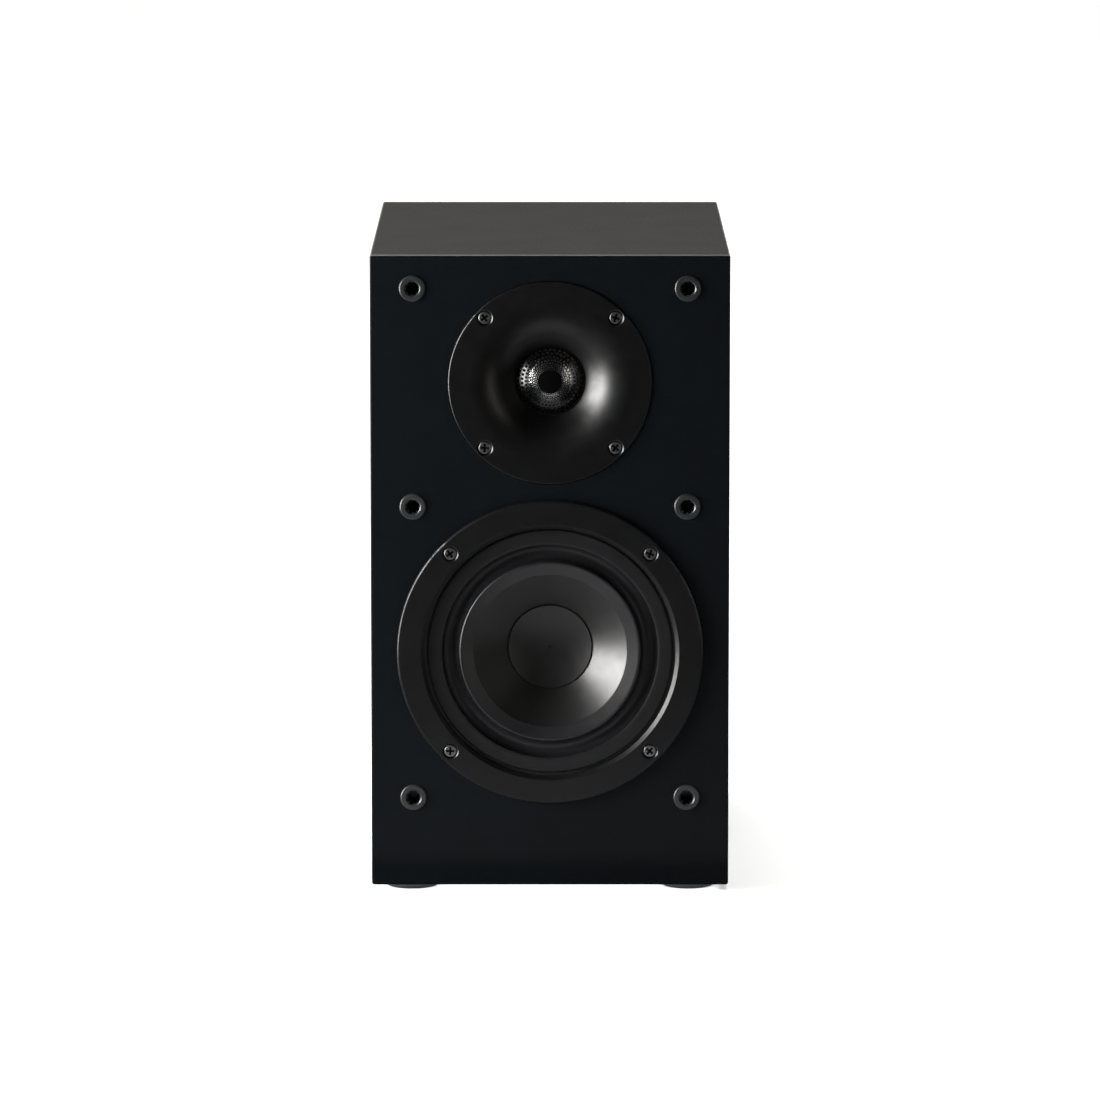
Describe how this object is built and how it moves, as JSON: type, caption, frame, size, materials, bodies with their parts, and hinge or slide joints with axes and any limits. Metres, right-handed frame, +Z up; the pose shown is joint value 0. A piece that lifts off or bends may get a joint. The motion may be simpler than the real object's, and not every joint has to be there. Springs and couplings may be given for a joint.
{
  "type": "bookshelf speaker",
  "caption": "Two-way bookshelf loudspeaker: a black box cabinet with a horn-loaded dome tweeter above a cone woofer, rear port and binding posts.",
  "frame": {"origin": "on the ground under the middle of the cabinet", "axes": "+Z up, the front with the drive units faces -Y, +X to the right seen from the front"},
  "size_m": [0.17, 0.2664, 0.305],
  "materials": {
    "cabinet_vinyl": "satin black vinyl wrap on fibreboard, fine straight grain",
    "baffle_vinyl": "satin blue-black vinyl on fibreboard",
    "rear_vinyl": "satin black vinyl on fibreboard",
    "bare_fibreboard": "raw sawn fibreboard",
    "felt": "matted grey felt",
    "foot_rubber": "matte",
    "socket_rubber": "satin moulded",
    "surround_rubber": "smooth satin",
    "clamp_rubber": "matte moulded",
    "foam": "closed-cell foam",
    "trim_plastic": "fine satin moulding",
    "horn_plastic": "smooth satin moulding",
    "rear_plastic": "fine textured moulding",
    "cone_poly": "satin polypropylene",
    "black_screw": "black oxide",
    "basket_paint": "black powder coat",
    "plated_steel": "zinc plated",
    "guard_metal": "dark bright-plated perforated steel",
    "dome_metal": "bright",
    "ferrite": "sintered, ground faces",
    "former_metal": "thin foil",
    "copper": "enamelled copper wire",
    "spider_cloth": "impregnated open-weave cloth",
    "suspension_cloth": "coated fine weave",
    "phenolic": "phenolic sheet",
    "post_brass": "gold-plated brass",
    "red_plastic": "moulded",
    "black_plastic": "moulded",
    "collar_plastic": "moulded",
    "board": "solder-masked glass laminate",
    "capacitor_film": "wrapped film",
    "resistor_ceramic": "cement-filled",
    "standoff": "nylon",
    "wire_sleeve": "insulation"
  },
  "bodies": {
    "cabinet": {"top_panel": "cabinet_vinyl", "bottom_panel": "cabinet_vinyl", "left_side_panel": "cabinet_vinyl", "right_side_panel": "cabinet_vinyl", "front_baffle": "baffle_vinyl", "rear_panel": "rear_vinyl", "window_brace": "bare_fibreboard", "acoustic_lining": "felt", "rubber_feet": "foot_rubber", "grille_sockets": "socket_rubber", "port_tube": "rear_plastic", "woofer_trim_ring": "trim_plastic", "woofer_screws": "black_screw", "woofer_clamp_ring": "clamp_rubber", "woofer_basket": "basket_paint", "woofer_gasket": "foam", "woofer_surround": "surround_rubber", "woofer_spider": "spider_cloth", "woofer_top_plate": "plated_steel", "woofer_magnet": "ferrite", "woofer_back_plate": "plated_steel", "woofer_terminal_strip": "phenolic", "woofer_tinsel_leads": "copper", "tweeter_faceplate": "horn_plastic", "tweeter_screws": "black_screw", "tweeter_gasket": "foam", "tweeter_mesh": "guard_metal", "tweeter_centre_disc": "horn_plastic", "tweeter_suspension": "suspension_cloth", "tweeter_front_plate": "plated_steel", "tweeter_magnet": "ferrite", "tweeter_back_plate": "plated_steel", "tweeter_rear_chamber": "rear_plastic", "tweeter_terminals": "phenolic", "terminal_cup": "rear_plastic", "terminal_gasket": "foam", "terminal_screws": "black_screw", "post_studs": "post_brass", "post_collars": "collar_plastic", "post_nuts": "plated_steel", "solder_tags": "plated_steel", "crossover_board": "board", "board_standoffs": "standoff", "board_screws": "plated_steel", "inductors": "copper", "capacitors": "capacitor_film", "resistor": "resistor_ceramic", "internal_wires": "wire_sleeve"},
    "woofer_diaphragm": {"woofer_cone": "cone_poly", "woofer_dust_cap": "cone_poly", "woofer_former": "former_metal", "woofer_winding": "copper"},
    "tweeter_diaphragm": {"tweeter_dome": "dome_metal", "tweeter_former": "former_metal", "tweeter_winding": "copper"},
    "black_insert": {"black_post_insert": "post_brass"},
    "black_cap": {"black_post_cap": "black_plastic"},
    "red_insert": {"red_post_insert": "post_brass"},
    "red_cap": {"red_post_cap": "red_plastic"}
  },
  "joints": [
    {"name": "woofer_excursion", "type": "slide", "parent": "cabinet", "child": "woofer_diaphragm", "axis": [0, -1, 0], "range_m": [-0.004, 0.004], "stiffness_N_per_m": 1000, "deforming": ["woofer_surround", "woofer_spider", "woofer_tinsel_leads"]},
    {"name": "tweeter_excursion", "type": "slide", "parent": "cabinet", "child": "tweeter_diaphragm", "axis": [0, -1, 0], "range_m": [-0.0004, 0.0004], "stiffness_N_per_m": 2000, "deforming": ["tweeter_suspension"]},
    {"name": "black_cap_advance", "type": "slide", "parent": "cabinet", "child": "black_insert", "axis": [0, 1, 0], "range_m": [0, 0.0055]},
    {"name": "black_cap_turn", "type": "hinge", "parent": "black_insert", "child": "black_cap", "pos_m": [-0.0095, 0.13, 0.065], "axis": [0, 1, 0], "range_deg": [0, 2475]},
    {"name": "red_cap_advance", "type": "slide", "parent": "cabinet", "child": "red_insert", "axis": [0, 1, 0], "range_m": [0, 0.0055]},
    {"name": "red_cap_turn", "type": "hinge", "parent": "red_insert", "child": "red_cap", "pos_m": [0.0095, 0.13, 0.065], "axis": [0, 1, 0], "range_deg": [0, 2475]}
  ],
  "couplings": [
    {"joint": "black_cap_turn", "follows": "black_cap_advance", "rad_per_m": 7854},
    {"joint": "red_cap_turn", "follows": "red_cap_advance", "rad_per_m": 7854}
  ]
}
